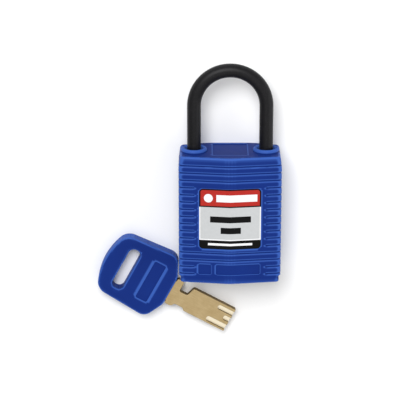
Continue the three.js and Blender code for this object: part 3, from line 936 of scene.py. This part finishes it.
def bars(across, along, boxes):
    # 1 inside any of the boxes (left, right, low, high), in metres
    total = None
    for left, right, low, high in boxes:
        inside = across.above(left * mm) * across.below(right * mm)
        inside = inside * along.above(low * mm) * along.below(high * mm)
        total = inside if total is None else total.larger(inside)
    return total


printed = {
    "outline": 0.45,
    "margin": 0.38,
    "headerEdge": 5.15,
    "footerEdge": -6.7,
    "disc": (-7.4, 8.35, 1.5),  # x, y, radius
    "headerBar": [(-4.7, 9.2, 7.1, 9.6)],  # left, right, low, high
    "fieldBars": [(-6.8, 7.1, -0.3, 1.9), (-3.2, 3.7, -4.25, -2.05)],
    "footerBar": [(-7.5, 7.6, -8.55, -7.75)],
}


def roundCorner(x, y):
    # 1 outside the printed header, which has round top corners
    reach = label["corner"] * mm
    across = (abs(x) - (label["halfWidth"] * mm - reach)).larger(0)
    along = (y - (label["top"] * mm - reach)).larger(0)
    return (across * across + along * along).above((reach - printed["outline"] * mm) ** 2)


def labelFilm():
    # header, pale field and footer, with plain shapes in place of print
    finish = Finish("labelFilm")
    x, y, _ = finish.split()
    noise = finish.noise(900, 3, 0.6)
    white = finish.blend(noise, tint(226, 226, 228), tint(238, 238, 240))
    field = finish.blend(noise, tint(182, 184, 185), tint(194, 196, 197))
    black = finish.blend(noise, tint(2, 2, 2), tint(8, 7, 8))
    red = finish.blend(noise, tint(164, 37, 30), tint(178, 45, 37))
    headerEdge, footerEdge = printed["headerEdge"] * mm, printed["footerEdge"] * mm
    outline, margin = printed["outline"] * mm, printed["margin"] * mm
    header = y.above(headerEdge)
    footer = y.below(footerEdge)
    colour = finish.blend(header, field, red)
    sides = abs(x).above(label["halfWidth"] * mm - margin).larger(y.below(footerEdge + margin))
    colour = finish.blend(sides * (1 - header), colour, white)
    colour = finish.blend(footer, colour, black)
    discX, discY, discRadius = (v * mm for v in printed["disc"])
    disc = ((x - discX) * (x - discX) + (y - discY) * (y - discY)).below(discRadius ** 2)
    pale = disc.larger(bars(x, y, printed["headerBar"])).larger(bars(x, y, printed["footerBar"]))
    colour = finish.blend(pale, colour, white)
    rim = header * roundCorner(x, y).larger(y.below(headerEdge + outline))
    colour = finish.blend(rim.larger(bars(x, y, printed["fieldBars"])), colour, black)
    finish.set(Base_Color=colour, Roughness=0.32 + 0.1 * noise, Specular_IOR_Level=0.12,
               Normal=finish.bump(finish.noise(1500, 2, 0.5), 0.00001, 0.4))
    return finish.material


written = {"rules": (-8.4, -4.6, -0.8, 3.0), "ruleReach": 6.2, "ruleThick": 0.18, "bandFrom": 7.0}


def writeOnFilm():
    # matt film ruled with plain lines to write on
    finish = Finish("writeOnFilm")
    x, y, _ = finish.split()
    noise = finish.noise(1200, 3, 0.6)
    paper = finish.blend(noise, tint(214, 215, 218), tint(228, 229, 232))
    dark = tint(40, 41, 46)
    reach, thick = written["ruleReach"], written["ruleThick"]
    rules = [(-reach, reach, low, low + thick) for low in written["rules"]]
    colour = finish.blend(bars(x, y, rules), paper, dark)
    band = y.above(written["bandFrom"] * mm)
    colour = finish.blend(band, colour, tint(38, 62, 140))
    finish.set(Base_Color=colour, Roughness=0.5 + 0.12 * noise, Normal=finish.bump(noise, 0.00001, 0.5))
    return finish.material


finishes = {
    # blueNylon: deep and pale tones, then the paler edge colour, partly wear and partly painted highlight
    "blue_nylon": mouldedNylon("blueNylon", tint(5, 36, 110), tint(9, 44, 123), tint(66, 110, 200)),
    "black_polymer": fibrePlastic("blackPolymer"),
    "label_film": labelFilm(),
    "write_on_film": writeOnFilm(),
    "zinc_casting": metal("zincCasting", tint(120, 122, 126), tint(158, 160, 163), 0.45, (1 / 900,) * 3),
    "bright_steel": metal("brightSteel", tint(150, 152, 155), tint(190, 192, 195), 0.24,
                          (1 / 2600, 1 / 120, 1 / 2600)),
    "spring_steel": metal("springSteel", tint(105, 107, 111), tint(150, 152, 156), 0.3, (1 / 1800,) * 3),
    "lock_brass": metal("lockBrass", tint(168, 132, 70), tint(205, 170, 102), 0.28,
                        (1 / 2200, 1 / 160, 1 / 2200)),
    # keyBrass: the near-black colour is for upright sides, partly duller cut finish and partly painted dark
    # reflection; the pale colour is for groove floors, partly newly cut metal and partly painted highlight
    "key_brass": metal("keyBrass", tint(168, 143, 98), tint(206, 184, 141), 0.3,
                       (1 / 300, 1 / 5200, 1 / 5200), math.radians(key["turn"]), 0.2,
                       tint(30, 24, 16), (tint(246, 234, 206), 2.0, 3.2)),
}
print("finishes made")

for name, node in frame["nodes"].items():
    slot = next(s["material_slot"] for s in frame["record"]["subparts"] if s["node"] == name)
    node.data.materials.clear()
    node.data.materials.append(finishes[slot])

finishPiece(buildShell(), "case", "blue_nylon", "body_shell")
finishPiece(buildShackle(), "shackle", "black_polymer", "shackle", sharpFrom=40)
finishPiece(buildFrontLabel(), "case", "label_film", "front_label")
finishPiece(buildRearLabel(), "case", "write_on_film", "rear_label")
finishPiece(buildCap(), "case", "black_polymer", "bottom_cap")
finishPiece(buildPlug(), "plug", "lock_brass", "cylinder_plug")
finishPiece(buildBow(), "key", "blue_nylon", "key_bow")
finishPiece(buildBlade(), "key", "key_brass", "key_blade")
for number in (1, 2, 3):
    low, high = boxOf(f"slider_spring_{number}")
    push = next(j for j in frame["record"]["behaviour"]["joints"] if j["name"] == f"slider_{number}_push")
    coil = buildSliderSpring(low, high)
    finishPiece(coil, "plug", "spring_steel", f"slider_spring_{number}")
    1 - push["range_m"][1] / (high.y - low.y) / mm
    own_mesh(coil)

# floor, light and camera

stage = {
    "floorSize": 4.0,
    "floorDrop": 0.0001,
    "floorShade": (0.92, 0.92, 0.92, 1),
    "floorRoughness": 0.9,
    "lights": {  # place, target, size, power
        "above": ((-0.15, 0.53, 0.83), (0, 0, 0), 0.5, 8),
        "card": ((0.05, -0.4, 1.0), (0, 0, 0), 0.8, 1.4),
        "side": ((0.8, -0.1, 0.45), (0, 0, 0.01), 0.5, 2),
    },
    "roomLight": 0.45,
    "tilt": 18.4,
    "distance": 600,
    "aim": (-10.22, 4.75, 10.0),
    "lens": 157.05,
}


def plainFloor():
    bm = bmesh.new()
    bmesh.ops.create_grid(bm, x_segments=1, y_segments=1, size=stage["floorSize"] / 2)
    bmesh.ops.translate(bm, vec=(0, 0, -stage["floorDrop"]), verts=bm.verts)
    floor = newObject(bm, "floor")
    finish = Finish("paleFloor")
    finish.set(Base_Color=stage["floorShade"], Roughness=stage["floorRoughness"])
    floor.data.materials.append(finish.material)


def softLight(name, place, target, size, power):
    light = bpy.data.lights.new(name, "AREA")
    light.shape = "SQUARE"
    light.size = size
    light.energy = power
    lamp = bpy.data.objects.new(name, light)
    lamp.location = Vector(place)
    lamp.rotation_euler = (Vector(target) - Vector(place)).to_track_quat("-Z", "Y").to_euler()
    bpy.context.scene.collection.objects.link(lamp)


plainFloor()
for name, settings in stage["lights"].items():
    softLight(name, *settings)

world = bpy.data.worlds.new("softRoom")
world.use_nodes = True
world.node_tree.nodes["Background"].inputs["Color"].default_value = (1, 1, 1, 1)
world.node_tree.nodes["Background"].inputs["Strength"].default_value = stage["roomLight"]
bpy.context.scene.world = world

tilt = math.radians(stage["tilt"])
camera = bpy.data.objects.new("camera", bpy.data.cameras.new("camera"))
camera.data.lens = stage["lens"]
camera.data.clip_start = 0.01
back = Vector((0, math.sin(tilt), math.cos(tilt)))
camera.location = (Vector(stage["aim"]) + back * stage["distance"]) * mm
camera.rotation_euler = (-tilt, 0, 0)
bpy.context.scene.collection.objects.link(camera)
bpy.context.scene.camera = camera
bpy.context.scene.view_settings.view_transform = "Standard"
print("stage set")
